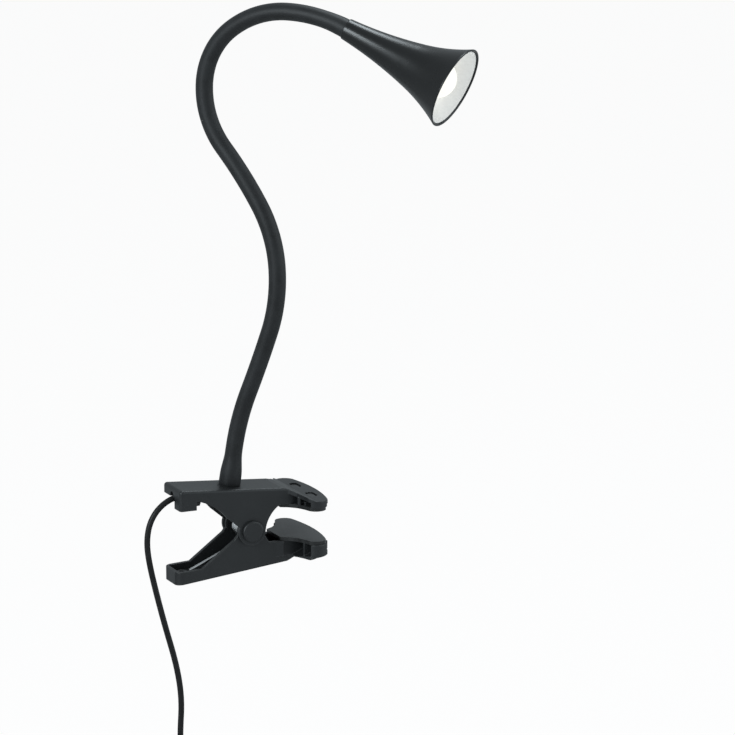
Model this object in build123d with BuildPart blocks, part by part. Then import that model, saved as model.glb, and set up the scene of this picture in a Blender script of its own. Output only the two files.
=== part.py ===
import os
from math import asin, atan2, ceil, cos, degrees, hypot, pi, radians, sin, sqrt, tan

from build123d import *

os.makedirs("parts", exist_ok=True)

# Millimetres and degrees. X runs from the handles to the jaws, Y along the clamp
# pivot, Z up. The origin is the middle of the upper pad where it meets the board.
board = 18.0
pad_thick = 2.2
wall = 2.2
upper_half = 13.0
upper_slope = 4.5
rear_x = -81.0
rear_top = 17.2
nose_x = 9.3
jaw_top = 6.2
lower_half = 10.8
lower_rear = (-82.3, -39.9)
lower_front = (-13.0, -32.7)
pivot_x = -36.0
pivot_z = -11.5
pin_r = 2.0
cap_r = 6.4

wire_r = 0.8
spring_r = 5.2
spring_turns = 4
spring_pitch = 2.2
lower_leg_end = (-72.4, -32.8)
upper_leg_end = (-62.0, 9.4)

neck_base = (-44.8, 0.0, 14.6)
neck_azimuth = -50.0
neck_lean = 8.4
neck_stem = 20.0
link_length = 38.3
link_turns = (13.6, -3.0, -22.3, -27.6, -9.2, 42.2, 50.0, 37.6, 23.7)
sleeve_r = 5.0
core_r = 3.4
socket_r = 3.7
bore_r = 1.6
flare_r = 6.4

shade_length = 72.4
shade_mouth_r = 24.0
shade_throat_r = 6.2
shade_wall = 1.2
dome_r = 10.8
dome_seat = 60.5

cord_r = 1.75
lead_r = 0.9
clamp_z = 8.6
switch_x = -77.2
switch_top = -146.0
switch_long = 54.0
switch_wide = 22.0
switch_half = 7.5
rocker_z = switch_top - switch_long / 2
rocker_y = -5.0
rocker_rest = 8.0

coil_out = 24.5
coil_pitch = 4.0
coil_layer = 4.0
layer_turns = 2.8125
coil_x = switch_x + coil_out
coil_z = -228.0
tail_straight = 10.0

plug_half = 17.5
plug_thick = 14.0
plug_long = 34.0
plug_pin_r = 2.0
plug_pin_long = 19.0
plug_pin_y = 9.3


def save(builder, name):
    builder.part.label = name
    export_step(builder.part, f"parts/{name}.step")
    print(name, "volume", round(builder.part.volume, 1))


def run_length(path):
    return sum(edge.length for edge in path.edges())


def top_at(x):
    return rear_top - (x - rear_x) * tan(radians(upper_slope))


def bottom_at(x):
    rise = (lower_front[1] - lower_rear[1]) / (lower_front[0] - lower_rear[0])
    return lower_rear[1] + (x - lower_rear[0]) * rise


# Plan of a jaw: a wide bar with rounded ends, its back edge sweeping in to the body
def jaw_plan(back):
    Polyline((back, 10.5), (-13.5, 13.0), (-9.6, 17.0), (-7.2, 22.0), (-6.2, 25.2))
    ThreePointArc((-6.2, 25.2), (-0.6, 29.4), (6.2, 25.2))
    ThreePointArc((6.2, 25.2), (nose_x, 0), (6.2, -25.2))
    ThreePointArc((6.2, -25.2), (-0.6, -29.4), (-6.2, -25.2))
    Polyline((-6.2, -25.2), (-7.2, -22.0), (-9.6, -17.0), (-13.5, -13.0), (back, -10.5))
    Line((back, -10.5), (back, 10.5))


# Arcs joined smoothly through stations, each a point and a heading
def wound(stations):
    for (p0, t0), (p1, t1) in zip(stations, stations[1:]):
        v = p1 - p0
        bend = 1 - t0.dot(t1)
        reach = v.dot(t0 + t1)
        d = (sqrt(reach**2 + 2 * bend * v.dot(v)) - reach) / (2 * bend)
        middle = (p0 + t0 * d + p1 - t1 * d) * 0.5
        first = TangentArc(p0, middle, tangent=t0)
        TangentArc(middle, p1, tangent=first % 1)


def least_gap(stations, width, skip):
    points = [p for p, t in stations]
    near = min(
        (points[i] - points[j]).length
        for i in range(len(points))
        for j in range(i + skip, len(points))
    )
    return round(near - width, 2)


# Rounding at each corner of a cord route from its runs and its turn
def corner_radii(points):
    radii = []
    for a, b, c in zip(points, points[1:], points[2:]):
        u, v = Vector(*b) - Vector(*a), Vector(*c) - Vector(*b)
        half = radians(u.get_angle(v)) / 2
        radii.append(round(0.45 * min(u.length, v.length) / tan(half), 2))
    return radii


with BuildPart() as upper_shell:
    with BuildSketch(Plane.XZ):
        with BuildLine():
            Polyline(
                (-19.0, pad_thick), (nose_x - 4, pad_thick), (nose_x - 4, jaw_top), (-2.5, jaw_top),
                (-12.5, top_at(-17) - 1.2), (-17.0, top_at(-17)), (rear_x, rear_top), (rear_x, 11.2),
                (-72.5, 10.6),
            )
            ThreePointArc((-72.5, 10.6), (-60.2, 5.6), (-52.0, -1.8))
            Line((-52.0, -1.8), (pivot_x - 8.0, pivot_z + 2.9))
            ThreePointArc((pivot_x - 8.0, pivot_z + 2.9), (pivot_x, pivot_z - 8.5), (pivot_x + 8.2, pivot_z - 2.2))
            ThreePointArc((pivot_x + 8.2, pivot_z - 2.2), (-25.2, -4.4), (-19.0, pad_thick))
        make_face()
    extrude(amount=upper_half, both=True)
    tops = upper_shell.edges().filter_by(lambda e: abs(abs(e.center().Y) - upper_half) < 0.01)
    fillet([e for e in tops if e.center().Z > top_at(e.center().X) - 0.05 and e.center().X < -20], 1.6)
    with BuildSketch(Plane.XY.offset(pad_thick)):
        with BuildLine():
            jaw_plan(-20.5)
        make_face()
    extrude(amount=9.0)
    with BuildSketch(Plane.XZ):
        with BuildLine():
            Polyline((-17, top_at(-17)), (-12.5, top_at(-17) - 1.2), (-2.5, jaw_top), (20, jaw_top), (20, 30),
                     (-22, 30), (-22, top_at(-22)), (-17, top_at(-17)))
        make_face()
    extrude(amount=40, both=True, mode=Mode.SUBTRACT)
    # channel under the handle, and the open tray under the jaw
    with BuildSketch(Plane.XZ):
        Polygon((-79.0, -40), (-79.0, top_at(-79) - 2.4), (-22, top_at(-22) - 2.4), (-22, -40), align=None)
    extrude(amount=upper_half - wall + 0.3, both=True, mode=Mode.SUBTRACT)
    with BuildSketch(Plane.XZ):
        Polygon((-19.8, -1), (-19.8, 8.6), (-13.0, 8.4), (-3.2, 4.4), (7.2, 4.4), (7.2, -1), align=None)
    extrude(amount=27.0, both=True, mode=Mode.SUBTRACT)
    for side in (-1, 1):
        with BuildSketch(Plane.XY.offset(pad_thick)):
            with Locations((-11.0, side * 11.9)):
                Rectangle(17.8, 2.2)
            with Locations((1.0, side * 20.4)):
                Rectangle(14.5, 1.4)
        extrude(amount=2.3)
        with BuildSketch(Plane.XY.offset(pad_thick)):
            with Locations((-8.2, side * 17.6)):
                Circle(1.3)
        extrude(amount=5.0)
        with BuildSketch(Plane.XZ.offset(side * 11.9 - 1.1)):
            Polygon((-20, pad_thick), (-20, 9), (-13, 8.7), (-3, 4.6), (-3, pad_thick), align=None)
        extrude(amount=2.2)
        with BuildSketch(Plane.XY.offset(jaw_top + 1)):
            with Locations((2.0, side * 11.5)):
                SlotOverall(10.5, 5.2, rotation=90)
        extrude(amount=-4.5, mode=Mode.SUBTRACT)
    # squeeze block in the near rear corner
    with BuildSketch(Plane.XY.offset(4.9)):
        with Locations((rear_x + 5.1, -7.75)):
            Rectangle(10.2, 10.5)
    extrude(amount=8.0)
    fillet(upper_shell.edges().filter_by(Axis.Z).filter_by(lambda e: e.center().X < rear_x + 0.1), 1.8)
    # seat for the neck and two posts for the cord clamp
    with BuildSketch(Plane(neck_base, z_dir=(
            sin(radians(neck_lean)) * cos(radians(neck_azimuth)),
            sin(radians(neck_lean)) * sin(radians(neck_azimuth)), cos(radians(neck_lean))))) as seat:
        Circle(7.4)
    extrude(amount=-4.6)
    with BuildSketch(seat.workplanes[0]):
        Circle(flare_r + 0.3)
    extrude(amount=4, mode=Mode.SUBTRACT)
    with BuildSketch(seat.workplanes[0]):
        Circle(4.05)
    extrude(amount=-12, mode=Mode.SUBTRACT)
    with BuildSketch(Plane.XY.offset(clamp_z)):
        with Locations((-68, -5.2), (-68, 5.2)):
            Circle(2.4)
    extrude(amount=5.8)
    with BuildSketch(Plane.XY.offset(clamp_z)):
        with Locations((-68, -5.2), (-68, 5.2)):
            Circle(1.2)
    extrude(amount=3.4, mode=Mode.SUBTRACT)
    # pivot bores and the cord notch
    with BuildSketch(Plane.XZ):
        with Locations((pivot_x, pivot_z)):
            Circle(pin_r)
    extrude(amount=20, both=True, mode=Mode.SUBTRACT)
    with BuildSketch(Plane.YZ.offset(rear_x - 1)):
        with Locations((0, 10.6)):
            SlotOverall(7.6, 4.4, rotation=90)
    extrude(amount=5, mode=Mode.SUBTRACT)
save(upper_shell, "upper_shell")


# Soft pad under a jaw, with two studs that snap into it
def jaw_pad(name, face_z, lift, stud, stud_y, stud_wide):
    with BuildPart() as pad:
        with BuildSketch(Plane.XY.offset(face_z)):
            with BuildLine():
                jaw_plan(-18.0)
            make_face()
            offset(amount=-0.9, mode=Mode.REPLACE)
        extrude(amount=lift)
        with BuildSketch(Plane.XY.offset(face_z + lift)):
            with Locations((2.0, stud_y), (2.0, -stud_y)):
                SlotOverall(7.0, stud_wide, rotation=90)
        extrude(amount=stud)
    save(pad, name)


jaw_pad("upper_jaw_pad", 0, pad_thick, 3.4, 11.5, 3.6)
jaw_pad("lower_jaw_pad", -board, -pad_thick, -2.6, 15.0, 1.9)

lower_jaw_z = -board - pad_thick
with BuildPart() as lower_shell:
    with BuildSketch(Plane.XZ):
        with BuildLine():
            Polyline(
                (-24.0, lower_jaw_z), (nose_x - 4, lower_jaw_z), (nose_x - 4, -26.2), (-2.0, -27.6), lower_front,
                lower_rear, (lower_rear[0], -32.2), (-66.6, -31.4), (-46.0, -16.3), (pivot_x - 7.6, pivot_z - 1.9),
            )
            ThreePointArc((pivot_x - 7.6, pivot_z - 1.9), (pivot_x, pivot_z + 7.8), (pivot_x + 7.8, pivot_z - 0.4))
            ThreePointArc((pivot_x + 7.8, pivot_z - 0.4), (-26.6, -16.4), (-24.0, lower_jaw_z))
        make_face()
    extrude(amount=lower_half - 0.3, both=True)
    with BuildSketch(Plane.XY.offset(lower_jaw_z)):
        with BuildLine():
            jaw_plan(-20.5)
        make_face()
    extrude(amount=-9.0)
    with BuildSketch(Plane.XZ):
        Polygon((-22, bottom_at(-22)), lower_front, (-2, -27.6), (20, -25.0), (20, -60), (-22, -60), align=None)
    extrude(amount=40, both=True, mode=Mode.SUBTRACT)
    fillet(lower_shell.edges().filter_by(Axis.Z).filter_by(lambda e: e.center().X < lower_rear[0] + 0.1), 4.5)
    with BuildSketch(Plane.XZ):
        Polygon((-80.2, 20), (-80.2, bottom_at(-80.2) + wall), (-26, bottom_at(-26) + wall), (-26, 20), align=None)
    extrude(amount=lower_half - 0.3 - wall, both=True, mode=Mode.SUBTRACT)
    with BuildSketch(Plane.XZ):
        Polygon((-23.8, -10), (-23.8, -31.4), (-13.2, -30.5), (-2.2, -25.8), (7.2, -24.4), (7.2, -10), align=None)
    extrude(amount=8.1, both=True, mode=Mode.SUBTRACT)
    for side in (-1, 1):
        with BuildSketch(Plane.XZ.offset(side * 18.8)):
            Polygon((-16, -15), (-16, -30.5), (-13.2, -30.3), (-2.2, -25.8), (7.2, -24.4), (7.2, -15), align=None)
        extrude(amount=8.2, both=True, mode=Mode.SUBTRACT)
        with BuildSketch(Plane.XZ.offset(side * 20.4)):
            Polygon((-7, lower_jaw_z), (-7, -28), (-2, -26.5), (8, -24.8), (8, lower_jaw_z), align=None)
        extrude(amount=0.7, both=True)
    with BuildSketch(Plane.XY.offset(-38.6)):
        with Locations((-75.2, 0)):
            Circle(2.8)
            Circle(1.5, mode=Mode.SUBTRACT)
    extrude(amount=4.6)
    with BuildSketch(Plane.XZ):
        with Locations((pivot_x, pivot_z)):
            Circle(pin_r + 0.05)
    extrude(amount=20, both=True, mode=Mode.SUBTRACT)
save(lower_shell, "lower_shell")

with BuildPart() as pivot_pin:
    with BuildSketch(Plane.XZ):
        with Locations((pivot_x, pivot_z)):
            Circle(pin_r)
    extrude(amount=upper_half + 1.2, both=True)
save(pivot_pin, "pivot_pin")

for name, side in (("pivot_cap_near", 1), ("pivot_cap_far", -1)):
    with BuildPart() as pivot_cap:
        with BuildSketch(Plane.XZ.offset(side * upper_half)):
            with Locations((pivot_x, pivot_z)):
                Circle(cap_r)
        extrude(amount=side * 2.3)
        rim = pivot_cap.edges().filter_by(lambda e: abs(abs(e.center().Y) - upper_half - 2.3) < 0.01)
        fillet(rim, 1.1)
        with BuildSketch(Plane.XZ.offset(side * upper_half)):
            with Locations((pivot_x, pivot_z)):
                Circle(pin_r)
        extrude(amount=side * 1.2, mode=Mode.SUBTRACT)
    save(pivot_cap, name)

# Torsion spring: both legs leave the coil along its tangents, towards the handles
low_u, low_w = lower_leg_end[0] - pivot_x, lower_leg_end[1] - pivot_z
up_u, up_w = upper_leg_end[0] - pivot_x, upper_leg_end[1] - pivot_z
start_angle = atan2(-low_w, -low_u) - asin(spring_r / hypot(low_u, low_w)) - pi / 2
end_angle = atan2(up_w, up_u) - pi / 2 + asin(spring_r / hypot(up_u, up_w)) + 2 * pi * spring_turns
spring_half = spring_pitch * (end_angle - start_angle) / (4 * pi)


def spring_station(a):
    y = -spring_half + spring_pitch * (a - start_angle) / (2 * pi)
    flat = min(a - start_angle, end_angle - a) < 0.01
    place = Vector(pivot_x + spring_r * cos(a), y, pivot_z + spring_r * sin(a))
    heading = Vector(-spring_r * sin(a), 0 if flat else spring_pitch / (2 * pi), spring_r * cos(a))
    return place, heading.normalized()


def spring_stations(steps):
    return [spring_station(start_angle + (end_angle - start_angle) * i / steps) for i in range(steps + 1)]


with BuildPart() as torsion_spring:
    quarter = spring_stations(round((end_angle - start_angle) / (pi / 2)))
    with BuildLine() as spring_path:
        Line((lower_leg_end[0], -spring_half, lower_leg_end[1]), quarter[0][0])
        wound(quarter)
        Line(quarter[-1][0], (upper_leg_end[0], spring_half, upper_leg_end[1]))
    with BuildSketch(Plane(spring_path.line @ 0, z_dir=spring_path.line % 0)):
        Circle(wire_r)
    sweep(path=spring_path.line)
save(torsion_spring, "torsion_spring")
print("spring gap", least_gap(spring_stations(400), 2 * wire_r, 60),
      "volume by length", round(pi * wire_r**2 * run_length(spring_path), 1))

# The neck bends in one upright plane. Its links meet in ball seats a link apart.
flat_dir = Vector(cos(radians(neck_azimuth)), sin(radians(neck_azimuth)), 0)
neck_plane = Plane(neck_base, x_dir=flat_dir, z_dir=flat_dir.cross(Vector(0, 0, 1)))


def heading(lean):
    return sin(radians(lean)), cos(radians(lean))


def after_link(point, lean, turn):
    radius = link_length / radians(turn)
    a, b = radians(lean), radians(lean + turn)
    return point[0] + radius * (cos(a) - cos(b)), point[1] + radius * (sin(b) - sin(a))


def to_world(point):
    return neck_plane.from_local_coords(Vector(point[0], point[1], 0))


def along(lean):
    return flat_dir * sin(radians(lean)) + Vector(0, 0, 1) * cos(radians(lean))


stem_dir = heading(neck_lean)
spots = [(neck_stem * stem_dir[0], neck_stem * stem_dir[1])]
leans = [neck_lean]
for turn in link_turns:
    spots.append(after_link(spots[-1], leans[-1], turn))
    leans.append(leans[-1] + turn)
last_link = len(link_turns) - 1


def link_path(k):
    if k == 0:
        Line((0, 0), spots[0])
    JernArc(spots[k], heading(leans[k]), link_length / radians(abs(link_turns[k])), -link_turns[k])


def joint_axis(k):
    if k % 2:
        return neck_plane.z_dir * -1
    return along(leans[k] - 90)


for k in range(len(link_turns)):
    start = (0, 0) if k == 0 else spots[k]
    section = Plane(to_world(start), z_dir=along(leans[k]))
    ending = Plane(to_world(spots[k + 1]), z_dir=along(leans[k + 1]))
    with BuildPart() as neck_core:
        with BuildLine(neck_plane) as core_path:
            link_path(k)
        with BuildSketch(section):
            Circle(core_r)
        sweep(path=core_path.line)
        if k < last_link:
            with Locations(ending.origin):
                Sphere(core_r)
        with BuildSketch(section):
            Circle(bore_r)
        sweep(path=core_path.line, mode=Mode.SUBTRACT)
        if k < last_link:
            with BuildSketch(ending):
                Circle(bore_r)
            extrude(amount=core_r + 1, mode=Mode.SUBTRACT)
            cross = joint_axis(k + 1)
            with BuildSketch(Plane(ending.origin - cross * 5, z_dir=cross)):
                Circle(0.7)
            extrude(amount=10, mode=Mode.SUBTRACT)
        if k > 0:
            with Locations(section.origin):
                Sphere(socket_r, mode=Mode.SUBTRACT)
        if k == 0:
            with BuildSketch(section):
                Circle(2.6)
            extrude(amount=8, mode=Mode.SUBTRACT)
        if k == last_link:
            with BuildSketch(ending):
                Circle(2.6)
            extrude(amount=-6, mode=Mode.SUBTRACT)
    save(neck_core, f"neck_core_{k}")
    with BuildPart() as neck_sleeve:
        with BuildLine(neck_plane) as sleeve_path:
            link_path(k)
        with BuildSketch(section):
            Circle(sleeve_r)
            Circle(socket_r + 0.1, mode=Mode.SUBTRACT)
        sweep(path=sleeve_path.line)
        if k == 0:
            with BuildSketch(neck_plane):
                with BuildLine():
                    foot = [(flare_r, 0), (flare_r, 5.4), (sleeve_r + 0.5, 14), (sleeve_r, neck_stem), (4.2, neck_stem),
                            (4.2, 0)]
                    turned = [(r * stem_dir[1] + t * stem_dir[0], t * stem_dir[1] - r * stem_dir[0]) for r, t in foot]
                    Polyline(*turned, turned[0])
                make_face()
            revolve(axis=Axis(neck_base, along(neck_lean)))
    save(neck_sleeve, f"neck_sleeve_{k}")
    if k > 0:
        print("joint", k, [round(v, 3) for v in section.origin], [round(v, 5) for v in joint_axis(k)])

seat_plane = Plane(neck_base, z_dir=along(neck_lean))
with BuildPart() as neck_ferrule:
    with BuildSketch(seat_plane):
        Circle(2.6)
    extrude(amount=7.8)
    with BuildSketch(seat_plane):
        Circle(4.0)
    extrude(amount=-8.4)
    with BuildSketch(seat_plane.offset(-8.4)):
        Circle(bore_r)
    extrude(amount=30, mode=Mode.SUBTRACT)
save(neck_ferrule, "neck_ferrule")

with BuildPart() as neck_washer:
    with BuildSketch(seat_plane.offset(-4.6)):
        Circle(7.6)
        Circle(4.1, mode=Mode.SUBTRACT)
    extrude(amount=-1.2)
save(neck_washer, "neck_washer")

with BuildPart() as neck_nut:
    with BuildSketch(seat_plane.offset(-5.8)):
        RegularPolygon(6.2, 6, major_radius=False)
        Circle(4.0, mode=Mode.SUBTRACT)
    extrude(amount=-2.4)
save(neck_nut, "neck_nut")

# Lamp head, turned about the last heading of the neck
head_lean = leans[-1]
head_at = to_world(spots[-1])
head_axis = Axis(head_at, along(head_lean))
head_plane = Plane(head_at, x_dir=along(head_lean), z_dir=neck_plane.z_dir)


def shade_curve(inset):
    first = ThreePointArc((0, shade_throat_r - inset), (24, 8.9 - inset), (46, 13.4 - inset))
    TangentArc((46, 13.4 - inset), (shade_length, shade_mouth_r - inset), tangent=first % 1)


with BuildPart() as shade_shell:
    with BuildSketch(head_plane):
        with BuildLine():
            shade_curve(0)
            Line((shade_length, shade_mouth_r), (shade_length, shade_mouth_r - shade_wall))
            shade_curve(shade_wall)
            Line((0, shade_throat_r - shade_wall), (0, shade_throat_r))
        make_face()
    revolve(axis=head_axis)
    fillet(shade_shell.edges().sort_by(head_axis)[-2:], 0.4)
save(shade_shell, "shade_shell")

with BuildPart() as reflector:
    with BuildSketch(head_plane):
        with BuildLine():
            Polyline((shade_length - 0.9, 22.1), (shade_length - 0.9, 21.5), (dome_seat, dome_r + 0.5),
                     (dome_seat - 1, dome_r + 0.5), (dome_seat - 1, dome_r + 2.1), (dome_seat + 0.6, dome_r + 2.1),
                     (shade_length - 0.9, 22.1))
        make_face()
    revolve(axis=head_axis)
save(reflector, "reflector")

with BuildPart() as lens_dome:
    with BuildSketch(head_plane):
        with BuildLine():
            Line((dome_seat - 2.5, dome_r), (dome_seat, dome_r))
            TangentArc((dome_seat, dome_r), (dome_seat + dome_r, 0), tangent=(1, 0))
            Line((dome_seat + dome_r, 0), (dome_seat + dome_r - 1, 0))
            ThreePointArc((dome_seat + dome_r - 1, 0),
                          (dome_seat + (dome_r - 1) * sin(pi / 4), (dome_r - 1) * cos(pi / 4)), (dome_seat, dome_r - 1))
            Polyline((dome_seat, dome_r - 1), (dome_seat - 2.5, dome_r - 1), (dome_seat - 2.5, dome_r))
        make_face()
    revolve(axis=head_axis)
save(lens_dome, "lens_dome")


def on_axis(distance):
    return Plane(head_at + along(head_lean) * distance, x_dir=neck_plane.z_dir, z_dir=along(head_lean))


with BuildPart() as heat_sink:
    with BuildSketch(on_axis(dome_seat - 9.5)):
        Circle(10.6)
    extrude(amount=5.5)
    with BuildSketch(on_axis(dome_seat - 9.5)):
        with PolarLocations(7.2, 8):
            Circle(1.3)
        Circle(1.8)
    extrude(amount=5.5, mode=Mode.SUBTRACT)
save(heat_sink, "heat_sink")

with BuildPart() as led_board:
    with BuildSketch(on_axis(dome_seat - 4)):
        Circle(9.2)
        Circle(1.2, mode=Mode.SUBTRACT)
    extrude(amount=1.2)
save(led_board, "led_board")

with BuildPart() as led_chips:
    with BuildSketch(on_axis(dome_seat - 2.8)):
        with PolarLocations(5.4, 6):
            Rectangle(2.8, 3.5)
    extrude(amount=0.7)
save(led_chips, "led_chips")

with BuildPart() as head_ferrule:
    with BuildSketch(on_axis(0)):
        Circle(shade_throat_r - shade_wall)
    extrude(amount=9)
    with BuildSketch(on_axis(0)):
        Circle(2.6)
    extrude(amount=-5.8)
    with BuildSketch(on_axis(-8)):
        Circle(bore_r)
    extrude(amount=20, mode=Mode.SUBTRACT)
save(head_ferrule, "head_ferrule")

with BuildPart() as driver_board:
    with BuildSketch(on_axis(14)):
        Rectangle(9.0, 1.2)
    extrude(amount=26)
    with BuildSketch(on_axis(20)):
        with Locations((0, 2.3)):
            Circle(2.0)
    extrude(amount=9)
    with BuildSketch(on_axis(31)):
        with Locations((0, 1.6)):
            Rectangle(5.0, 2.2)
    extrude(amount=5)
save(driver_board, "driver_board")

with BuildPart() as cord_clamp_bar:
    with BuildSketch(Plane.XY.offset(clamp_z)):
        with Locations((-68, 0)):
            RectangleRounded(5.0, 15.6, 2.2)
        with Locations((-68, -5.2), (-68, 5.2)):
            Circle(1.3, mode=Mode.SUBTRACT)
    extrude(amount=-1.6)
save(cord_clamp_bar, "cord_clamp_bar")

with BuildPart() as cord_clamp_screws:
    with BuildSketch(Plane.XY.offset(clamp_z - 1.6)):
        with Locations((-68, -5.2), (-68, 5.2)):
            Circle(1.2)
    extrude(amount=4.6)
    with BuildSketch(Plane.XY.offset(clamp_z - 1.6)):
        with Locations((-68, -5.2), (-68, 5.2)):
            Circle(2.3)
    extrude(amount=-1.1)
    with BuildSketch(Plane.XY.offset(clamp_z - 2.7)):
        with Locations((-68, -5.2), (-68, 5.2)):
            Rectangle(3.4, 0.6)
            Rectangle(0.6, 3.4)
    extrude(amount=0.7, mode=Mode.SUBTRACT)
save(cord_clamp_screws, "cord_clamp_screws")


def tube(points, radius, name):
    radii = corner_radii(points)
    with BuildPart() as run:
        with BuildLine() as route:
            FilletPolyline(*points, radius=radii)
        with BuildSketch(Plane(route.line @ 0, z_dir=route.line % 0)):
            Circle(radius)
        sweep(path=route.line)
    save(run, name)
    print(name, "radii", radii, "volume by length", round(pi * radius**2 * run_length(route), 1),
          "length", round(run_length(route), 1))


# Thin flex inside the handle, looping from the neck up to the end of the cord
cord_start = Vector(-62.4, 0, 10.3)
lead_low = Vector(*neck_base) - along(neck_lean) * 8.9
with BuildPart() as inner_lead:
    bends = [
        (lead_low, along(neck_lean) * -1),
        (Vector(-51.25, 0.9, 0.4), Vector(-1, -0.05, 0.02).normalized()),
        (Vector(-56.25, 0.4, 4.0), Vector(-0.375, -0.03, 0.927).normalized()),
        (cord_start, Vector(-8.6, 0, 0.7).normalized()),
    ]
    with BuildLine() as lead_path:
        Line(Vector(*neck_base) - along(neck_lean) * 7, lead_low)
        wound(bends)
    with BuildSketch(Plane(lead_path.line @ 0, z_dir=lead_path.line % 0)):
        Circle(lead_r)
    sweep(path=lead_path.line)
save(inner_lead, "inner_lead")
print("inner_lead radii", [round(e.radius, 2) for e in lead_path.edges() if e.geom_type == GeomType.CIRCLE])

# Free cord from the clamp bar, through the notch and down to the switch
tube([tuple(cord_start), (-71.0, 0, 11.0), (-79.6, 0, 10.5), (-86.3, 0, 7.4), (-91.8, 0, 2.2), (-95.4, 0, -4.8),
      (-96.8, 0, -13.4), (-96.2, 0, -22.8), (-93.3, 0, -37.5), (-86.6, 0, -64.4), (-79.0, 0, -91.0),
      (-76.0, 0, -112.0), (-77.4, 0, -132.0), (switch_x, 0, switch_top - 5.0)], cord_r, "supply_cord")


def switch_outline(inset):
    with Locations((switch_x, rocker_z)):
        RectangleRounded(switch_wide - 2 * inset, switch_long - 2 * inset, 9.0 - inset)


screw_spots = [(switch_x - 6.2, switch_top - 8.0), (switch_x + 6.2, switch_top - switch_long + 8.0)]
for name, side in (("switch_cover", 1), ("switch_base", -1)):
    with BuildPart() as switch_half_shell:
        with BuildSketch(Plane.XZ):
            switch_outline(0)
        extrude(amount=side * switch_half)
        outer = switch_half_shell.edges().filter_by(lambda e: abs(abs(e.center().Y) - switch_half) < 0.01)
        fillet(outer, 1.8)
        with BuildSketch(Plane.XZ):
            switch_outline(2.0)
        extrude(amount=side * (switch_half - 2), mode=Mode.SUBTRACT)
        with BuildSketch(Plane.XZ):
            with Locations(*screw_spots):
                Circle(2.5)
        extrude(amount=side * (switch_half - 1))
        with BuildSketch(Plane.XZ):
            with Locations(*screw_spots):
                Circle(1.2 if side > 0 else 1.35)
        extrude(amount=side * (5.0 if side > 0 else 12.0), mode=Mode.SUBTRACT)
        with BuildSketch(Plane.XY.offset(switch_top + 2)):
            with Locations((switch_x, 0)):
                Circle(cord_r + 0.2)
        extrude(amount=-switch_long - 4, mode=Mode.SUBTRACT)
        if side > 0:
            with BuildSketch(Plane.XZ):
                with Locations((switch_x, rocker_z)):
                    Rectangle(10.8, 16.4)
            extrude(amount=20, mode=Mode.SUBTRACT)
            with BuildSketch(Plane.YZ.offset(switch_x - 10)):
                with Locations((rocker_y, rocker_z)):
                    Circle(1.0)
            extrude(amount=20, mode=Mode.SUBTRACT)
        else:
            with BuildSketch(Plane.XZ.offset(-switch_half - 1)):
                with Locations(*screw_spots):
                    Circle(2.4)
            extrude(amount=2.5, mode=Mode.SUBTRACT)
    save(switch_half_shell, name)

rocker_plane = Plane((switch_x - 5.1, rocker_y, rocker_z), x_dir=(0, cos(radians(rocker_rest)), sin(radians(rocker_rest))),
                     z_dir=(1, 0, 0))
with BuildPart() as switch_rocker:
    with BuildSketch(rocker_plane):
        with BuildLine():
            Polyline((3.2, 3.0), (0, 6.9), (-4.7, 6.9), (-3.5, 0), (-4.7, -6.9), (0, -6.9), (3.2, -3.0))
            ThreePointArc((3.2, -3.0), (3.6, 0), (3.2, 3.0))
        make_face()
        Circle(1.05, mode=Mode.SUBTRACT)
    extrude(amount=10.2)
save(switch_rocker, "switch_rocker")

with BuildPart() as rocker_pin:
    with BuildSketch(Plane.YZ.offset(switch_x - 10)):
        with Locations((rocker_y, rocker_z)):
            Circle(1.0)
    extrude(amount=20)
save(rocker_pin, "rocker_pin")

with BuildPart() as switch_screws:
    with BuildSketch(Plane.XZ.offset(5.0)):
        with Locations(*screw_spots):
            Circle(1.2)
    extrude(amount=-11.5)
    with BuildSketch(Plane.XZ.offset(-6.0)):
        with Locations(*screw_spots):
            Circle(2.2)
    extrude(amount=-1.3)
    with BuildSketch(Plane.XZ.offset(-7.3)):
        with Locations(*screw_spots):
            Rectangle(3.2, 0.6)
            Rectangle(0.6, 3.2)
    extrude(amount=0.7, mode=Mode.SUBTRACT)
save(switch_screws, "switch_screws")

with BuildPart() as switch_contacts:
    with BuildSketch(Plane.XZ.offset(-4.3)):
        with Locations((switch_x, rocker_z + 9.5), (switch_x, rocker_z - 9.5)):
            Rectangle(4.0, 9.0)
    extrude(amount=-1.2)
save(switch_contacts, "switch_contacts")

# Spare cord wound in four layers: it spirals in and out by turns and climbs where it turns back
linear = 2 * pi * layer_turns
stage = linear + pi
coil_end = 4 * linear + 3 * pi
rate = coil_pitch / (2 * pi)


def coil_radius(a):
    layer = min(int(a / stage), 3)
    into = a - layer * stage
    sign = -1 if layer % 2 == 0 else 1
    begin = coil_out if sign < 0 else coil_out - rate * linear
    if into <= linear:
        return begin + sign * rate * into, sign * rate
    u = into - linear
    return begin + sign * rate * (linear + u - u * u / pi), sign * rate * (1 - 2 * u / pi)


def coil_climb(a):
    layer = min(int(a / stage), 3)
    u = max(0, min(1, (a - layer * stage - linear) / pi))
    return coil_layer * (layer + u * u * (3 - 2 * u)), coil_layer * 6 * u * (1 - u) / pi


def coil_station(a):
    r, dr = coil_radius(a)
    y, dy = coil_climb(a)
    turn = a + pi
    place = Vector(coil_x + r * cos(turn), y, coil_z + r * sin(turn))
    way = Vector(dr * cos(turn) - r * sin(turn), dy, dr * sin(turn) + r * cos(turn))
    if a < 0.001:
        way = Vector(0, 0, -1)
    if a > coil_end - 0.001:
        way = Vector(-1, 0, 0)
    return place, way.normalized()


def coil_stations(steps):
    return [coil_station(coil_end * i / steps) for i in range(steps + 1)]


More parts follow.
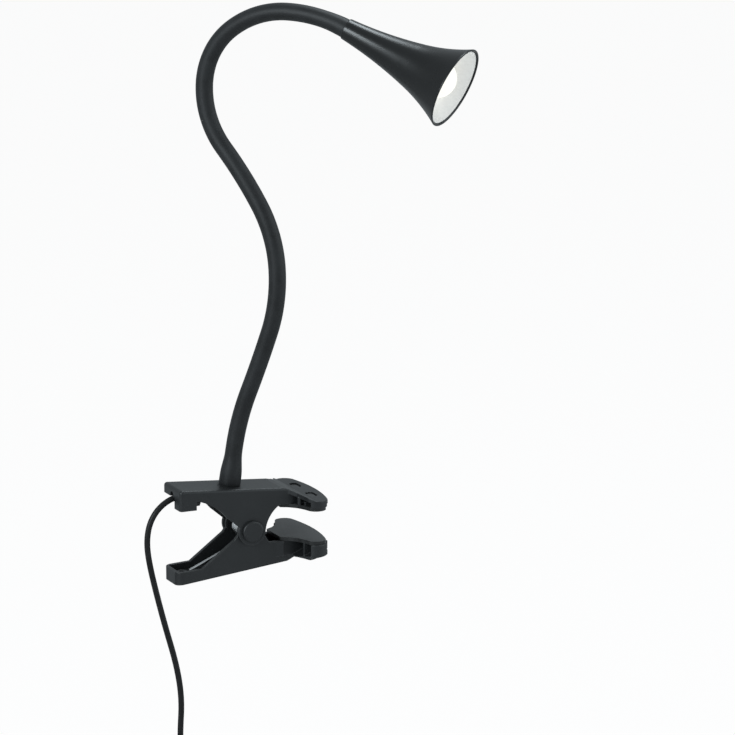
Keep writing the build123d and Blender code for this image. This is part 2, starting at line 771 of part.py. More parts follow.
with BuildPart() as cord_coil:
    turns = coil_stations(ceil(coil_end / (pi / 2)))
    with BuildLine() as coil_path:
        Line((switch_x, 0, switch_top - switch_long + 5.0), turns[0][0])
        wound(turns)
        Line(turns[-1][0], turns[-1][0] + Vector(-tail_straight, 0, 0))
    with BuildSketch(Plane(coil_path.line @ 0, z_dir=coil_path.line % 0)):
        Circle(cord_r)
    sweep(path=coil_path.line)
save(cord_coil, "cord_coil")
print("coil gap", least_gap(coil_stations(1500), 2 * cord_r, 90), "length", round(run_length(coil_path), 1),
      "volume by length", round(pi * cord_r**2 * run_length(coil_path), 1))

with BuildPart() as coil_tie:
    with BuildSketch(Plane.XY.offset(coil_z - 3)):
        with Locations((coil_x + 18.75, 1.5 * coil_layer)):
            RectangleRounded(19.1, 18.4, 2.6)
            RectangleRounded(17.1, 16.4, 1.6, mode=Mode.SUBTRACT)
    extrude(amount=6)
save(coil_tie, "coil_tie")

# Tail from the coil over to the plug, which hangs on the far side of the cord
tail_y = 3 * coil_layer
tail = [(turns[-1][0].X - tail_straight, tail_y, turns[-1][0].Z)]
for step, drop in ((14, 0), (14, 30), (14, 60), (14, 90)):
    last = tail[-1]
    tail.append((last[0] - step * cos(radians(drop)), tail_y, last[2] - step * sin(radians(drop))))
tube(tail, cord_r, "plug_tail")
plug_x, plug_top = tail[-1][0], tail[-1][2] - 10.0

with BuildPart() as plug_boot:
    with BuildSketch(Plane((plug_x, tail_y, plug_top), x_dir=(1, 0, 0), z_dir=(0, -1, 0))):
        Polygon((cord_r + 0.1, 18), (2.9, 18), (4.6, 0), (cord_r + 0.1, 0), align=None)
    revolve(axis=Axis((plug_x, tail_y, plug_top), (0, 0, 1)))
    for level in range(4):
        with BuildSketch(Plane.XY.offset(plug_top + 4 + 3.4 * level)):
            with Locations((plug_x, tail_y)):
                Rectangle(12, 12)
                Circle(3.7 - 0.3 * level, mode=Mode.SUBTRACT)
        extrude(amount=1.2, mode=Mode.SUBTRACT)
save(plug_boot, "plug_boot")

with BuildPart() as plug_body:
    with BuildSketch(Plane.XY.offset(plug_top)):
        with Locations((plug_x, tail_y)):
            RectangleRounded(plug_thick, 2 * plug_half - 8, 5.0)
    with BuildSketch(Plane.XY.offset(plug_top - plug_long * 0.45)):
        with Locations((plug_x, tail_y)):
            RectangleRounded(plug_thick, 2 * plug_half, 5.0)
    loft()
    with BuildSketch(Plane.XY.offset(plug_top - plug_long * 0.45)):
        with Locations((plug_x, tail_y)):
            RectangleRounded(plug_thick, 2 * plug_half, 5.0)
    extrude(amount=-plug_long * 0.55)
    with BuildSketch(Plane.XY.offset(plug_top - plug_long)):
        with Locations((plug_x, tail_y - plug_pin_y), (plug_x, tail_y + plug_pin_y)):
            Circle(plug_pin_r - 0.4)
    extrude(amount=8, mode=Mode.SUBTRACT)
save(plug_body, "plug_body")

with BuildPart() as plug_pins:
    with BuildSketch(Plane.XY.offset(plug_top - plug_long)):
        with Locations((plug_x, tail_y - plug_pin_y), (plug_x, tail_y + plug_pin_y)):
            Circle(plug_pin_r - 0.4)
    extrude(amount=8)
    with BuildSketch(Plane.XY.offset(plug_top - plug_long)):
        with Locations((plug_x, tail_y - plug_pin_y), (plug_x, tail_y + plug_pin_y)):
            Circle(plug_pin_r)
    extrude(amount=-plug_pin_long)
    tips = plug_pins.edges().group_by(Axis.Z)[0]
    fillet(tips, 1.2)
save(plug_pins, "plug_pins")
print("plug", plug_x, tail_y, plug_top - plug_long, "head", [round(v, 3) for v in head_at],
      [round(v, 5) for v in along(head_lean)])
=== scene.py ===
from math import asin, atan2, cos, hypot, pi, radians, sin
import bpy
from mathutils import Matrix, Vector


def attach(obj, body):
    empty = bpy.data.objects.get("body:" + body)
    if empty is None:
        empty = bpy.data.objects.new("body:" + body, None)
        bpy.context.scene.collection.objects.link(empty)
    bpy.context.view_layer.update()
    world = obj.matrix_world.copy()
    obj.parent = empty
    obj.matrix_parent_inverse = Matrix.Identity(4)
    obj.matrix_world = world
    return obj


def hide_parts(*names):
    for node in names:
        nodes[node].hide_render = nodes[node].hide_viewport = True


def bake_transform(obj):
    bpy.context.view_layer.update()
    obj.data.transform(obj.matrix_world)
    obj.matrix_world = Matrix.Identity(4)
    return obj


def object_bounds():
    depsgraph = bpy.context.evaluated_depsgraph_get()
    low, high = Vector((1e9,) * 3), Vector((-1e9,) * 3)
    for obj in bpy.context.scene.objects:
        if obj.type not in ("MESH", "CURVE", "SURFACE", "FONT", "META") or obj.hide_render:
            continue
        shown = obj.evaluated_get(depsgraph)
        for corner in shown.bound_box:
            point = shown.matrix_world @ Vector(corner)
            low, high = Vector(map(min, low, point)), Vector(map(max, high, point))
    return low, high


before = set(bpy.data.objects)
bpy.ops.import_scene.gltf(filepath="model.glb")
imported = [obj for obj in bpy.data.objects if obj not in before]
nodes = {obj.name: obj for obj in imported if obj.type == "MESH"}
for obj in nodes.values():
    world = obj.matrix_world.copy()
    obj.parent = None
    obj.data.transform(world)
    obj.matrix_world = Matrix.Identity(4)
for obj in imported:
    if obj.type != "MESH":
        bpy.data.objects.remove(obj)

cadLow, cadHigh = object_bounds()
scene = bpy.context.scene
scene.view_settings.view_transform = "Standard"
mm = 0.001
print("frame loaded:", len(nodes), "nodes")

# camera
cameraLook = {
    "place": (-0.93506, -2.09883, 0.61433), "azimuth": -25.0, "elevation": 13.1,
    "lens": 198.66, "sensor": 36.0, "clipEnd": 30.0,
}


def makeCamera(look):
    azimuth, elevation = radians(look["azimuth"]), radians(look["elevation"])
    back = Vector((sin(azimuth) * cos(elevation), -cos(azimuth) * cos(elevation), sin(elevation)))
    right = Vector((cos(azimuth), sin(azimuth), 0))
    up = back.cross(right)
    data = bpy.data.cameras.new("camera")
    data.lens = look["lens"]
    data.sensor_width = look["sensor"]
    data.clip_end = look["clipEnd"]
    camera = bpy.data.objects.new("camera", data)
    scene.collection.objects.link(camera)
    turn = Matrix((right, up, back)).transposed().to_4x4()
    camera.matrix_world = Matrix.Translation(look["place"]) @ turn
    scene.camera = camera


makeCamera(cameraLook)
print("camera placed")


# every node is made here: its type, its settings, then its inputs
def addNode(tree, kind, settings=None, inputs=None):
    node = tree.nodes.new(kind)
    for key, value in (settings or {}).items():
        setattr(node, key, value)
    for key, value in (inputs or {}).items():
        if isinstance(value, bpy.types.NodeSocket):
            tree.links.new(value, node.inputs[key])
        else:
            node.inputs[key].default_value = value
    return node


# shader maths: a wrapped socket that adds Math nodes when it is used in a sum
class Val:
    def __init__(self, finish, socket):
        self.finish = finish
        self.socket = socket

    def op(self, operation, other, swap=False, clamp=False):
        pair = [other, self] if swap else [self, other]
        settings = {"operation": operation, "use_clamp": clamp}
        return self.finish.add("ShaderNodeMath", settings, dict(enumerate(pair)))

    def __add__(self, other):
        return self.op("ADD", other)

    def __sub__(self, other):
        return self.op("SUBTRACT", other)

    def __rsub__(self, other):
        return self.op("SUBTRACT", other, swap=True)

    def __mul__(self, other):
        return self.op("MULTIPLY", other)

    def __truediv__(self, other):
        return self.op("DIVIDE", other)

    __radd__ = __add__
    __rmul__ = __mul__

    def clip(self):
        return self.op("ADD", 0.0, clamp=True)

    # 0 up to an edge, then rising to 1
    def over(self, edge, soft):
        return ((self - edge) / soft).clip()

    # either way about the middle of a noise
    def swing(self, amount):
        return (self - 0.5) * amount


# bevel samples, and where the painted edge highlight starts and how softly it rises
edgeLook = {"samples": 8, "from": 0.01, "soft": 0.1}


class Finish:
    def __init__(self, name, world=None):
        self.material = world or bpy.data.materials.new(name)
        self.material.use_nodes = True
        self.tree = self.material.node_tree
        self.tree.nodes.clear()
        self.out = addNode(self.tree, "ShaderNodeOutputWorld" if world else "ShaderNodeOutputMaterial")

    def add(self, kind, settings=None, inputs=None, output=0):
        given = dict(inputs or {})
        for key, value in given.items():
            if isinstance(value, Val):
                given[key] = value.socket
        return Val(self, addNode(self.tree, kind, settings, given).outputs[output])

    def rays(self):
        names = ("Is Camera Ray", "Is Glossy Ray", "Is Transmission Ray")
        return [self.add("ShaderNodeLightPath", None, None, name) for name in names]

    def noise(self, scale, detail=3.0, rough=0.55, stretch=None):
        where = self.add("ShaderNodeTexCoord", None, None, "Object")
        if stretch:
            where = self.add("ShaderNodeMapping", None, {"Vector": where, "Scale": stretch})
        pattern = {"Vector": where, "Scale": scale, "Detail": detail, "Roughness": rough}
        return self.add("ShaderNodeTexNoise", None, pattern)

    # 0, 6 and 7 are the Mix node's factor and colours, 2 its colour output
    def blend(self, factor, one, two):
        return self.add("ShaderNodeMix", {"data_type": "RGBA"}, {0: factor, 6: one, 7: two}, 2)

    def mixShader(self, factor, one, two):
        return self.add("ShaderNodeMixShader", None, {0: factor, 1: one, 2: two})

    def bevel(self, radius):
        return self.add("ShaderNodeBevel", {"samples": edgeLook["samples"]}, {"Radius": radius})

    # fine relief, over edges rounded by a small radius
    def bump(self, height, depth, edge=0.0):
        relief = {"Height": height, "Distance": depth}
        if edge:
            relief["Normal"] = self.bevel(edge)
        return self.add("ShaderNodeBump", None, relief)

    # 0 on open ground, 1 along an edge: the mask where a highlight is painted on edges
    def paintedEdgeHighlight(self, radius):
        normals = {0: self.bevel(radius), 1: self.add("ShaderNodeNewGeometry", None, None, "Normal")}
        level = self.add("ShaderNodeVectorMath", {"operation": "DOT_PRODUCT"}, normals, "Value")
        return (1.0 - level).over(edgeLook["from"], edgeLook["soft"])

    def wire(self, shader):
        self.tree.links.new(shader.socket, self.out.inputs["Surface"])
        return self.material

    def surface(self, inputs):
        return self.wire(self.add("ShaderNodeBsdfPrincipled", None, inputs))


def grey(level, warm=0.0):
    return (level * (1 + warm), level, level * (1 - warm), 1)


# marks that all the plastics share, with the pale tone of the highlight painted along edges
plasticMarks = {
    "rub": 38.0, "rubAlong": (1.0, 1.0, 0.35), "rubFrom": 0.58, "rubSoft": 0.14,
    "dust": 2600.0, "dustFrom": 0.71, "dustSoft": 0.05, "dustTone": grey(0.22), "paintedEdgeTone": grey(0.2),
    "cloudShine": 0.10, "rubShine": 0.05, "grainShine": 0.04,
}
# each plastic also sets how strongly a highlight is painted along its edges
plasticLook = {
    "shell": {"cloud": 55.0, "grain": 2100.0, "dark": grey(0.012, -0.06), "light": grey(0.018, -0.06),
              "dust": 0.10, "rough": 0.41, "gloss": 0.5, "depth": 0.00002, "edge": 0.0007, "edgeHighlightStrength": 0.15},
    "shade": {"cloud": 40.0, "grain": 2600.0, "dark": grey(0.005, -0.05), "light": grey(0.0085, -0.05),
              "dust": 0.10, "rough": 0.29, "gloss": 0.5, "depth": 0.000002, "edge": 0.0009, "edgeHighlightStrength": 0.12},
    "switch": {"cloud": 70.0, "grain": 1500.0, "dark": grey(0.009), "light": grey(0.015),
               "dust": 0.14, "rough": 0.46, "gloss": 0.3, "depth": 0.00007, "edge": 0.0005, "edgeHighlightStrength": 0.08},
    "rocker": {"cloud": 90.0, "grain": 3000.0, "dark": grey(0.012), "light": grey(0.02),
               "dust": 0.05, "rough": 0.2, "gloss": 0.45, "depth": 0.00001, "edge": 0.0004, "edgeHighlightStrength": 0.08},
}


def mouldedPlastic(name, look):
    marks = plasticMarks
    paint = Finish(name)
    cloud = paint.noise(look["cloud"], detail=4.0)
    grain = paint.noise(look["grain"], detail=2.0, rough=0.6)
    rubbed = paint.noise(marks["rub"], detail=5.0, rough=0.7, stretch=marks["rubAlong"])
    rubbed = rubbed.over(marks["rubFrom"], marks["rubSoft"])
    dust = paint.noise(marks["dust"], detail=1.0, rough=0.5).over(marks["dustFrom"], marks["dustSoft"])
    tone = paint.blend(cloud, look["dark"], look["light"])
    tone = paint.blend(dust * look["dust"], tone, marks["dustTone"])
    # edges lightened toward a pale grey: a painted highlight, standing in for light caught on rounded edges
    tone = paint.blend(paint.paintedEdgeHighlight(look["edge"]) * look["edgeHighlightStrength"], tone, marks["paintedEdgeTone"])
    shine = look["rough"] + cloud.swing(marks["cloudShine"]) - rubbed * marks["rubShine"]
    shine = shine + grain.swing(marks["grainShine"])
    return paint.surface({
        "Base Color": tone, "Roughness": shine.clip(), "Specular IOR Level": look["gloss"],
        "Normal": paint.bump(grain, look["depth"], look["edge"]),
    })


# marks that all the rubbers share
rubberMarks = {
    "bloomFrom": 0.36, "bloomSoft": 0.32, "lint": 3200.0, "lintFrom": 0.70, "lintSoft": 0.04,
    "lintTone": grey(0.2), "bloomShine": 0.16, "skinShine": 0.1, "sheenRough": 0.5,
}
rubberLook = {
    "sleeve": {"bloom": 85.0, "skin": 1700.0, "dark": grey(0.009, -0.07), "light": grey(0.017, -0.07),
               "lint": 0.2, "rough": 0.52, "depth": 0.00006, "gloss": 0.4, "sheen": 0.03},
    "cord": {"bloom": 120.0, "skin": 1900.0, "dark": grey(0.007), "light": grey(0.012),
             "lint": 0.14, "rough": 0.44, "depth": 0.00004, "gloss": 0.28, "sheen": 0.0},
    "pad": {"bloom": 140.0, "skin": 1200.0, "dark": grey(0.014), "light": grey(0.026),
            "lint": 0.1, "rough": 0.34, "depth": 0.00005, "gloss": 0.4, "sheen": 0.02},
}


def softRubber(name, look):
    marks = rubberMarks
    paint = Finish(name)
    bloom = paint.noise(look["bloom"], detail=6.0, rough=0.62)
    skin = paint.noise(look["skin"], detail=3.0, rough=0.6)
    lint = paint.noise(marks["lint"], detail=1.0, rough=0.5).over(marks["lintFrom"], marks["lintSoft"])
    cover = bloom.over(marks["bloomFrom"], marks["bloomSoft"])
    tone = paint.blend(cover, look["dark"], look["light"])
    tone = paint.blend(lint * look["lint"], tone, marks["lintTone"])
    shine = look["rough"] + bloom.swing(marks["bloomShine"]) + skin.swing(marks["skinShine"])
    return paint.surface({
        "Base Color": tone, "Roughness": shine.clip(), "Specular IOR Level": look["gloss"],
        "Sheen Weight": look["sheen"], "Sheen Roughness": marks["sheenRough"],
        "Normal": paint.bump(skin, look["depth"]),
    })


metalMarks = {"streakShine": 0.22, "stainShine": 0.12}
metalLook = {
    "spring": {"streak": 700.0, "along": (1, 4, 1), "stain": 160.0, "rough": 0.3, "depth": 0.00002,
               "dark": grey(0.78), "light": grey(0.94)},
    "plated": {"streak": 900.0, "along": (1, 1, 0.2), "stain": 200.0, "rough": 0.3, "depth": 0.00002,
               "dark": grey(0.5), "light": grey(0.68)},
    "core": {"streak": 600.0, "along": (1, 1, 1), "stain": 120.0, "rough": 0.4, "depth": 0.00003,
             "dark": grey(0.36), "light": grey(0.5)},
    "blackened": {"streak": 700.0, "along": (1, 1, 1), "stain": 150.0, "rough": 0.4, "depth": 0.00003,
                  "dark": grey(0.03), "light": grey(0.06)},
    "aluminium": {"streak": 500.0, "along": (1, 1, 1), "stain": 90.0, "rough": 0.42, "depth": 0.00004,
                  "dark": grey(0.66), "light": grey(0.8)},
    "brass": {"streak": 700.0, "along": (1, 1, 3), "stain": 140.0, "rough": 0.3, "depth": 0.00002,
              "dark": (0.62, 0.46, 0.19, 1), "light": (0.78, 0.61, 0.28, 1)},
    "nickel": {"streak": 1100.0, "along": (1, 1, 0.1), "stain": 180.0, "rough": 0.2, "depth": 0.00001,
               "dark": grey(0.66, 0.02), "light": grey(0.8, 0.02)},
}


def brightMetal(name, look):
    paint = Finish(name)
    streak = paint.noise(look["streak"], detail=4.0, rough=0.65, stretch=look["along"])
    stain = paint.noise(look["stain"], detail=3.0)
    tone = paint.blend(stain, look["dark"], look["light"])
    shine = look["rough"] + streak.swing(metalMarks["streakShine"]) + stain.swing(metalMarks["stainShine"])
    return paint.surface({
        "Base Color": tone, "Metallic": 1.0, "Roughness": shine.clip(),
        "Normal": paint.bump(streak, look["depth"]),
    })


paleMarks = {"cloudShine": 0.12, "gloss": 0.4}
paleLook = {
    "reflector": {"cloud": 60.0, "grain": 1800.0, "rough": 0.42, "depth": 0.00003,
                  "dark": grey(0.89, 0.05), "light": grey(0.93, 0.05)},
    "board": {"cloud": 150.0, "grain": 2200.0, "rough": 0.4, "depth": 0.00003,
              "dark": grey(0.74), "light": grey(0.84)},
    "chip": {"cloud": 400.0, "grain": 3000.0, "rough": 0.35, "depth": 0.00003,
             "dark": (0.72, 0.52, 0.12, 1), "light": (0.86, 0.68, 0.22, 1)},
    "green": {"cloud": 200.0, "grain": 2400.0, "rough": 0.34, "depth": 0.00004,
              "dark": (0.012, 0.10, 0.045, 1), "light": (0.02, 0.15, 0.07, 1)},
}


def paleSatin(name, look):
    paint = Finish(name)
    cloud = paint.noise(look["cloud"], detail=4.0)
    grain = paint.noise(look["grain"], detail=2.0)
    tone = paint.blend(cloud, look["dark"], look["light"])
    shine = look["rough"] + cloud.swing(paleMarks["cloudShine"])
    return paint.surface({
        "Base Color": tone, "Roughness": shine.clip(), "Specular IOR Level": paleMarks["gloss"],
        "Normal": paint.bump(grain, look["depth"]),
    })


domeLook = {
    "dome": {"haze": 140.0, "frost": 2400.0, "depth": 0.00004, "rough": 0.5, "hazeShine": 0.2,
             "dim": (0.97, 0.95, 0.86, 1), "bright": (1.0, 0.99, 0.91, 1), "glow": 0.92,
             "dark": grey(0.16), "light": grey(0.24)},
}


def frostedGlow(name, look):
    paint = Finish(name)
    haze = paint.noise(look["haze"], detail=4.0)
    frost = paint.noise(look["frost"], detail=2.0)
    shine = look["rough"] + haze.swing(look["hazeShine"])
    return paint.surface({
        "Base Color": paint.blend(frost, look["dark"], look["light"]), "Roughness": shine.clip(),
        "Emission Color": paint.blend(haze, look["dim"], look["bright"]), "Emission Strength": look["glow"],
        "Normal": paint.bump(frost, look["depth"]),
    })


finishKinds = {
    "plastic": (mouldedPlastic, plasticLook), "rubber": (softRubber, rubberLook),
    "metal": (brightMetal, metalLook), "pale": (paleSatin, paleLook), "frosted": (frostedGlow, domeLook),
}
finishes = {}
for kind, (make, looks) in finishKinds.items():
    for key, look in looks.items():
        finishes[key] = make(kind + "_" + key, look)
print("finishes made:", len(finishes))

linkCount = 9
nodeFinish = {
    "shell": ["upper_shell", "lower_shell", "pivot_cap_near", "pivot_cap_far", "cord_clamp_bar"],
    "pad": ["upper_jaw_pad", "lower_jaw_pad"],
    "plated": ["pivot_pin", "neck_ferrule", "neck_washer", "neck_nut", "head_ferrule", "switch_screws",
               "rocker_pin"],
    "spring": ["torsion_spring"],
    "blackened": ["cord_clamp_screws"],
    "core": ["neck_core_%d" % k for k in range(linkCount)],
    "sleeve": ["neck_sleeve_%d" % k for k in range(linkCount)],
    "shade": ["shade_shell"],
    "reflector": ["reflector"],
    "dome": ["lens_dome"],
    "board": ["led_board"],
    "chip": ["led_chips"],
    "aluminium": ["heat_sink"],
    "green": ["driver_board"],
    "cord": ["inner_lead", "supply_cord", "cord_coil", "plug_tail", "plug_boot", "coil_tie"],
    "switch": ["switch_base", "switch_cover", "plug_body"],
    "rocker": ["switch_rocker"],
    "brass": ["switch_contacts"],
    "nickel": ["plug_pins"],
}
for key, names in nodeFinish.items():
    for name in names:
        nodes[name].data.materials.clear()
        nodes[name].data.materials.append(finishes[key])
print("solids dressed")


# a round bar along a line of points, with its thickness read from the points
def barTree():
    tree = bpy.data.node_groups.new("roundBar", "GeometryNodeTree")
    face = tree.interface
    face.new_socket("Geometry", in_out="INPUT", socket_type="NodeSocketGeometry")
    sides = face.new_socket("Sides", in_out="INPUT", socket_type="NodeSocketInt")
    skin = face.new_socket("Skin", in_out="INPUT", socket_type="NodeSocketMaterial")
    face.new_socket("Geometry", in_out="OUTPUT", socket_type="NodeSocketGeometry")

    def add(kind, inputs, output=0, settings=None):
        return addNode(tree, kind, settings, inputs).outputs[output]

    given = addNode(tree, "NodeGroupInput").outputs
    thick = add("GeometryNodeInputNamedAttribute", {"Name": "thick"}, "Attribute", {"data_type": "FLOAT"})
    line = add("GeometryNodeMeshToCurve", {"Mesh": given["Geometry"]})
    ring = add("GeometryNodeCurvePrimitiveCircle", {"Resolution": given["Sides"], "Radius": 1.0})
    sweep = {"Curve": line, "Profile Curve": ring, "Scale": thick, "Fill Caps": True}
    tube = add("GeometryNodeCurveToMesh", sweep)
    smooth = add("GeometryNodeSetShadeSmooth", {"Geometry": tube, "Shade Smooth": True})
    whole = add("GeometryNodeRealizeInstances", {"Geometry": smooth})
    done = add("GeometryNodeSetMaterial", {"Geometry": whole, "Material": given["Skin"]})
    addNode(tree, "NodeGroupOutput", None, {"Geometry": done})
    return tree, sides.identifier, skin.identifier


roundBar, sidesInput, skinInput = barTree()


def bar(name, points, thick, skin, sides):
    mesh = bpy.data.meshes.new(name)
    mesh.from_pydata(points, [(i, i + 1) for i in range(len(points) - 1)], [])
    mesh.attributes.new("thick", "FLOAT", "POINT").data.foreach_set("value", thick)
    piece = bpy.data.objects.new(name, mesh)
    scene.collection.objects.link(piece)
    tool = piece.modifiers.new("bar", "NODES")
    tool.node_group = roundBar
    tool[sidesInput] = sides
    tool[skinInput] = skin
    graph = bpy.context.evaluated_depsgraph_get()
    swept = piece.evaluated_get(graph)
    made = bpy.data.meshes.new_from_object(swept, preserve_all_data_layers=True, depsgraph=graph)
    piece.modifiers.remove(tool)
    piece.data = made
    made.name = name
    return piece


def ease(share):
    return share * share * (3 - 2 * share)


# cord, from the clamp bar through the switch to the plug, with the spare length wound
# millimetres and degrees, but for the cord's length in metres
cordRun = {
    "thick": 3.5, "length": 1.83,
    "route": [(-62.4, 10.3), (-71.0, 11.0), (-79.6, 10.5), (-86.3, 7.4), (-91.8, 2.2), (-95.4, -4.8),
              (-96.8, -13.4), (-96.2, -22.8), (-93.3, -37.5), (-86.6, -64.4), (-79.0, -91.0),
              (-76.0, -112.0), (-77.4, -132.0), (-77.2, -151.0), (-77.2, -173.0), (-77.2, -196.0),
              (-77.2, -213.0)],
    "coilAt": (-52.7, -228.0), "outside": 24.5, "pitch": 4.0, "layer": 4.0, "layers": 4,
    "layerTurns": 2.8125, "perTurn": 24,
    "leadOut": 5.0, "tailStep": 14.0, "tailDrops": (0, 30, 60, 90),
}


# layers wound inwards and outwards by turns, with half a turn to climb from each to the next
def coilPoints(run):
    centreX, centreZ = run["coilAt"]
    linear = 2 * pi * run["layerTurns"]
    rate = run["pitch"] / (2 * pi)
    stage = linear + pi
    total = run["layers"] * linear + (run["layers"] - 1) * pi
    count = round(total / (2 * pi) * run["perTurn"])
    swell = 1 / (0.75 + 0.25 * cos(2 * pi / run["perTurn"]))  # a spline of order 3 runs inside its points
    points = []
    for i in range(count + 1):
        angle = total * i / count
        layer = min(int(angle / stage), run["layers"] - 1)
        into = angle - layer * stage
        way = -1 if layer % 2 == 0 else 1
        radius = run["outside"] if way < 0 else run["outside"] - rate * linear
        past = max(0.0, into - linear)
        radius += way * rate * (min(into, linear) + past - past * past / pi)
        y = run["layer"] * (layer + ease(min(1.0, past / pi)))
        reach = radius * swell
        points.append((centreX + reach * cos(angle + pi), y, centreZ + reach * sin(angle + pi)))
    return points


def cordPoints(run):
    points = [(x, 0, z) for x, z in run["route"]] + coilPoints(run)
    x, y, z = points[-1]
    for step in range(2):
        x -= run["leadOut"]
        points.append((x, y, z))
    for drop in run["tailDrops"]:
        x -= run["tailStep"] * cos(radians(drop))
        z -= run["tailStep"] * sin(radians(drop))
        points.append((x, y, z))
    return points


splineLook = {"order": 3, "along": 6, "round": 5}


def splineCord(name, points, thick, skin):
    data = bpy.data.curves.new(name, "CURVE")
    data.dimensions = "3D"
    spline = data.splines.new("NURBS")
    spline.points.add(len(points) - 1)
    for knot, place in zip(spline.points, points):
        knot.co = (place[0] * mm, place[1] * mm, place[2] * mm, 1)
    spline.order_u = splineLook["order"]
    spline.use_endpoint_u = True
    spline.resolution_u = splineLook["along"]
    data.bevel_depth = thick / 2 * mm
    data.bevel_resolution = splineLook["round"]
    data.use_fill_caps = True
    data.materials.append(skin)
    piece = bpy.data.objects.new(name, data)
    scene.collection.objects.link(piece)
    return piece


cord = splineCord("mains_cord", cordPoints(cordRun), cordRun["thick"], finishes["cord"])
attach(cord, "clamp_body")
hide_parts("supply_cord", "cord_coil", "plug_tail")

# thin flex inside the handle, from the neck to the cord's end
flexRun = {
    "thick": 1.8,
    "points": [(-45.46, 0.78, 7.68), (-45.6, 1.0, 3.6), (-48.8, 1.0, 0.35), (-53.4, 0.8, 0.45),
               (-55.8, 0.6, 2.6), (-57.0, 0.3, 6.2), (-57.9, 0.2, 8.6), (-60.4, 0.05, 10.2),
               (-62.4, 0, 10.3)],
}
flex = splineCord("handle_flex", flexRun["points"], flexRun["thick"], finishes["cord"])
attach(flex, "clamp_body")
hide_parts("inner_lead")
print("cord laid")

# neck sleeve: one length over each joint, from the middle of a link to the middle of the next
neckRun = {
    "base": (-44.8, 0.0, 14.6), "azimuth": -50.0, "lean": 8.4, "stem": 20.0, "link": 38.3,
    "turns": (13.6, -3.0, -22.3, -27.6, -9.2, 42.2, 50.0, 37.6, 23.7),
    "radius": 5.0, "step": 1.2, "sides": 40, "bendReach": 16.8,
    "foot": 6.4, "footTall": 5.4, "footTaper": 0.05, "rimTall": 0.6, "rimIn": 0.35,
    "collar": 0.5, "collarLong": 16.0,
}
neckEnd = neckRun["stem"] + neckRun["link"] * len(neckRun["turns"])


def neckPoint(run, distance):
    flat = Vector((cos(radians(run["azimuth"])), sin(radians(run["azimuth"])), 0))
    up = Vector((0, 0, 1))
    place = Vector(run["base"])
    lean = radians(run["lean"])
    here = min(distance, run["stem"])
    place += (flat * sin(lean) + up * cos(lean)) * here
    left = distance - here
    for turn in run["turns"]:
        if left <= 0:
            break
        part = min(left, run["link"])
        bend = radians(turn) / run["link"]
        nextLean = lean + bend * part
        place += (flat * (cos(lean) - cos(nextLean)) + up * (sin(nextLean) - sin(lean))) / bend
        lean = nextLean
        left -= part
    return place


# wider at the foot, with its lower edge rounded, and again where it enters the shade
def sleeveThick(run, distance):
    if distance <= run["footTall"]:
        swell = 1.0 - run["footTaper"] * (distance / run["footTall"]) ** 2
    else:
        fall = max(0.0, 1 - (distance - run["footTall"]) / (run["stem"] - run["footTall"]))
        swell = (1.0 - run["footTaper"]) * ease(fall)
    edge = max(0.0, run["rimTall"] - distance) / run["rimTall"]
    near = max(0.0, 1 - (neckEnd - distance) / run["collarLong"])
    thick = run["radius"] + (run["foot"] - run["radius"]) * swell - run["rimIn"] * edge * edge
    return thick + run["collar"] * ease(near)


for k in range(1, linkCount):
    joint = neckRun["stem"] + neckRun["link"] * k
    start = 0.0 if k == 1 else joint - neckRun["link"] / 2
    end = neckEnd if k == linkCount - 1 else joint + neckRun["link"] / 2
    count = round((end - start) / neckRun["step"])
    marks = [start + (end - start) * i / count for i in range(count + 1)]
    points = [neckPoint(neckRun, mark) * mm for mark in marks]
    thick = [sleeveThick(neckRun, mark) * mm for mark in marks]
    sleeve = bar("neck_skin_%d" % k, points, thick, finishes["sleeve"], neckRun["sides"])
    tuple(neckPoint(neckRun, joint - neckRun["bendReach"]) * mm)
    tuple(neckPoint(neckRun, joint + neckRun["bendReach"]) * mm)
    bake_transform(sleeve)
    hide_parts(*(["neck_sleeve_0", "neck_sleeve_1"] if k == 1 else ["neck_sleeve_%d" % k]))
print("neck covered")

# torsion spring: wound on the pivot, a leg to each handle
springWire = {
    "at": (-36.0, -11.5), "radius": 5.2, "wire": 0.8, "turns": 4, "pitch": 2.2, "perTurn": 48,
    "low": (-72.4, -32.8), "high": (-62.0, 9.4), "legSteps": 10, "sides": 20,
}


def springPoints(run):
    pinX, pinZ = run["at"]
    lowX, lowZ = run["low"][0] - pinX, run["low"][1] - pinZ
    highX, highZ = run["high"][0] - pinX, run["high"][1] - pinZ
    first = atan2(-lowZ, -lowX) - asin(run["radius"] / hypot(lowX, lowZ)) - pi / 2
    last = atan2(highZ, highX) - pi / 2 + asin(run["radius"] / hypot(highX, highZ)) + 2 * pi * run["turns"]
    half = run["pitch"] * (last - first) / (4 * pi)
    count = round((last - first) / (2 * pi) * run["perTurn"])
    coil = []
    for i in range(count + 1):
        angle = first + (last - first) * i / count
        x, z = pinX + run["radius"] * cos(angle), pinZ + run["radius"] * sin(angle)
        coil.append(Vector((x, -half + 2 * half * i / count, z)))
    lowEnd = Vector((run["low"][0], -half, run["low"][1]))
    highEnd = Vector((run["high"][0], half, run["high"][1]))
    steps = run["legSteps"]
    lowLeg = [lowEnd.lerp(coil[0], i / steps) for i in range(steps)]
    highLeg = [coil[-1].lerp(highEnd, (i + 1) / steps) for i in range(steps)]
    return [point * mm for point in lowLeg + coil + highLeg], half


wirePoints, springHalf = springPoints(springWire)
wireThick = [springWire["wire"] * mm] * len(wirePoints)
spring = bar("clamp_spring", wirePoints, wireThick, finishes["spring"], springWire["sides"])
springHalf * 0.92 * mm
-springHalf * 0.92 * mm
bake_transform(spring)
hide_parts("torsion_spring")
print("spring wound")

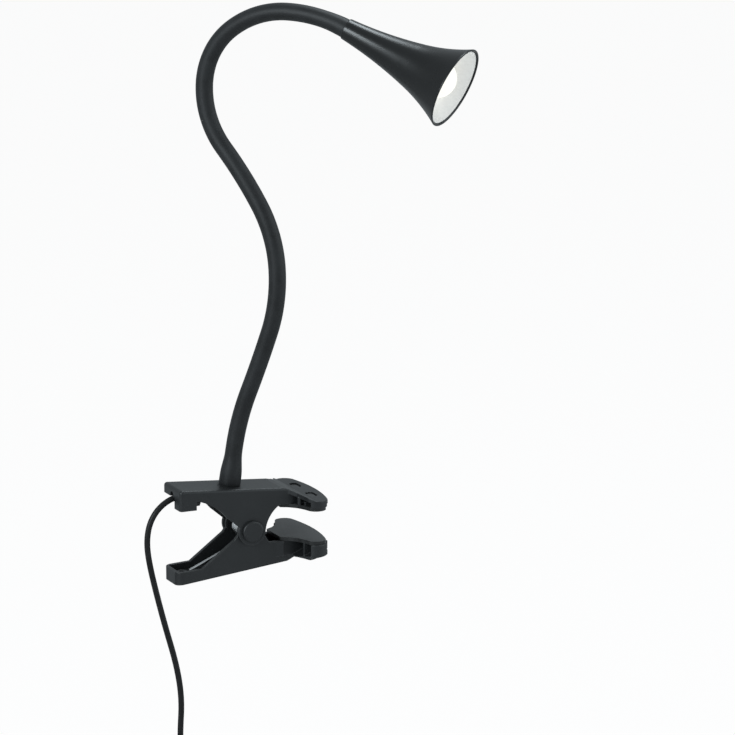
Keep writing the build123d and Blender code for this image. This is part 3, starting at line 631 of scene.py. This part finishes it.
# floor, backdrop and light
stageLook = {
    "floor": 0.9, "floorSeen": 0.94, "size": 14.0, "drop": 0.004,
    "sky": 0.4, "mirror": 0.4, "cool": (0.86, 0.95, 1.0),
}
lightLook = {
    "key_light": {"place": (-1.9, -0.78, 0.85), "aim": (0, -0.06, 0.2), "power": 26.0, "size": (0.42, 1.1)},
    "fill_light": {"place": (1.6, -1.1, 0.7), "aim": (0, 0, 0.1), "power": 16.0, "size": (2.2, 2.2)},
    "top_light": {"place": (0.6, 0.5, 1.9), "aim": (0, -0.06, 0.25), "power": 14.0, "size": (0.55, 0.8)},
}
coolTone = stageLook["cool"] + (1,)


def paleStage():
    paint = Finish("stage_pale")
    camera, glossy, through = paint.rays()
    white = (camera * stageLook["floorSeen"] + through).clip()
    matt = paint.add("ShaderNodeBsdfDiffuse", None, {"Color": grey(stageLook["floor"])})
    glow = paint.add("ShaderNodeEmission", None, {"Color": grey(1.0), "Strength": 1.0})
    soft = paint.add("ShaderNodeEmission", None, {"Color": coolTone, "Strength": stageLook["mirror"]})
    above = paint.mixShader(glossy, paint.mixShader(white, matt, glow), soft)
    # clear from below, so the underside can be seen
    under = paint.add("ShaderNodeNewGeometry", None, None, "Backfacing")
    clear = paint.add("ShaderNodeBsdfTransparent", None, {"Color": grey(1.0)})
    return paint.wire(paint.mixShader(under, above, clear))


def makeFloor():
    half, z = stageLook["size"] / 2, cadLow[2] - stageLook["drop"]
    corners = [(-half, -half, z), (half, -half, z), (half, half, z), (-half, half, z)]
    mesh = bpy.data.meshes.new("floor")
    mesh.from_pydata(corners, [], [(0, 1, 2, 3)])
    mesh.materials.append(paleStage())
    floor = bpy.data.objects.new("floor", mesh)
    scene.collection.objects.link(floor)


def makeWorld():
    scene.world = bpy.data.worlds.new("studio")
    paint = Finish("studio", scene.world)
    camera, glossy, through = paint.rays()
    level = glossy * (stageLook["mirror"] - stageLook["sky"]) + stageLook["sky"]
    strength = level + (camera + through).clip() * (1.0 - level)
    tint = paint.blend(camera, coolTone, grey(1.0))
    paint.wire(paint.add("ShaderNodeBackground", None, {"Color": tint, "Strength": strength}))


def makeLight(name, look):
    data = bpy.data.lights.new(name, "AREA")
    data.shape = "RECTANGLE"
    data.size, data.size_y = look["size"]
    data.energy = look["power"]
    data.color = stageLook["cool"]
    lamp = bpy.data.objects.new(name, data)
    away = Vector(look["place"]) - Vector(look["aim"])
    turn = away.to_track_quat("Z", "Y").to_matrix().to_4x4()
    lamp.matrix_world = Matrix.Translation(look["place"]) @ turn
    scene.collection.objects.link(lamp)


makeFloor()
makeWorld()
for name, look in lightLook.items():
    makeLight(name, look)
print("stage lit")
